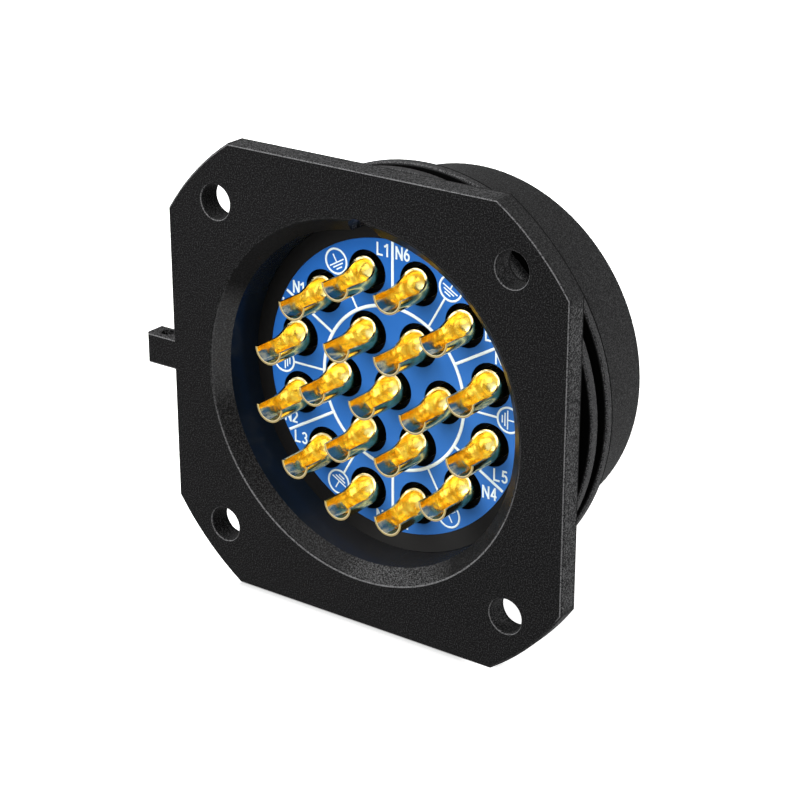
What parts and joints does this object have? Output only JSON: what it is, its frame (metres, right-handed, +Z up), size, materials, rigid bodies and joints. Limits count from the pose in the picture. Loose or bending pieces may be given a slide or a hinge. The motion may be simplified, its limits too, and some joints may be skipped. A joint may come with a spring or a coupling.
{
  "type": "multipin panel connector",
  "caption": "Square-flanged panel plug with soldered pin contacts in a round blue terminal plate, and a free-turning ribbed coupling ring on its front.",
  "frame": {"origin": "on the connector's axis, in the plane of the flange's solder side, which lies on the panel, at the centre of the four fixing holes", "axes": "+Y along the axis from the solder side to the mating front, +Z up towards the insert's key, +X to the right as seen from the solder side; the lug is at -X"},
  "size_m": [0.0646, 0.0269, 0.06],
  "materials": {
    "shell_black": "fine spark-eroded grain",
    "retainer_black": "smooth",
    "plate_blue": "semi-gloss with white printed markings",
    "insulator_black": "smooth",
    "contact_gold": "gold plated",
    "gasket_rubber": "matt",
    "spring_wire": "drawn",
    "ring_black": "fine spark-eroded grain"
  },
  "bodies": {
    "panel_body": {"shell": "shell_black", "insert_retainer": "retainer_black", "terminal_plate": "plate_blue", "contact_insulator": "insulator_black", "contact_l1": "contact_gold", "contact_n1": "contact_gold", "contact_l2": "contact_gold", "contact_n2": "contact_gold", "contact_l3": "contact_gold", "contact_n3": "contact_gold", "contact_l4": "contact_gold", "contact_n4": "contact_gold", "contact_l5": "contact_gold", "contact_n5": "contact_gold", "contact_l6": "contact_gold", "contact_n6": "contact_gold", "contact_e1": "contact_gold", "contact_e2": "contact_gold", "contact_e3": "contact_gold", "contact_e4": "contact_gold", "contact_e5": "contact_gold", "contact_e6": "contact_gold", "contact_spare": "contact_gold", "face_gasket": "gasket_rubber", "retaining_wire": "spring_wire"},
    "coupling_ring": {"coupling_ring": "ring_black"}
  },
  "joints": [
    {"name": "ring_turn", "type": "hinge", "parent": "panel_body", "child": "coupling_ring", "pos_m": [0, 0.0115, 0], "axis": [0, 1, 0], "continuous": true}
  ]
}
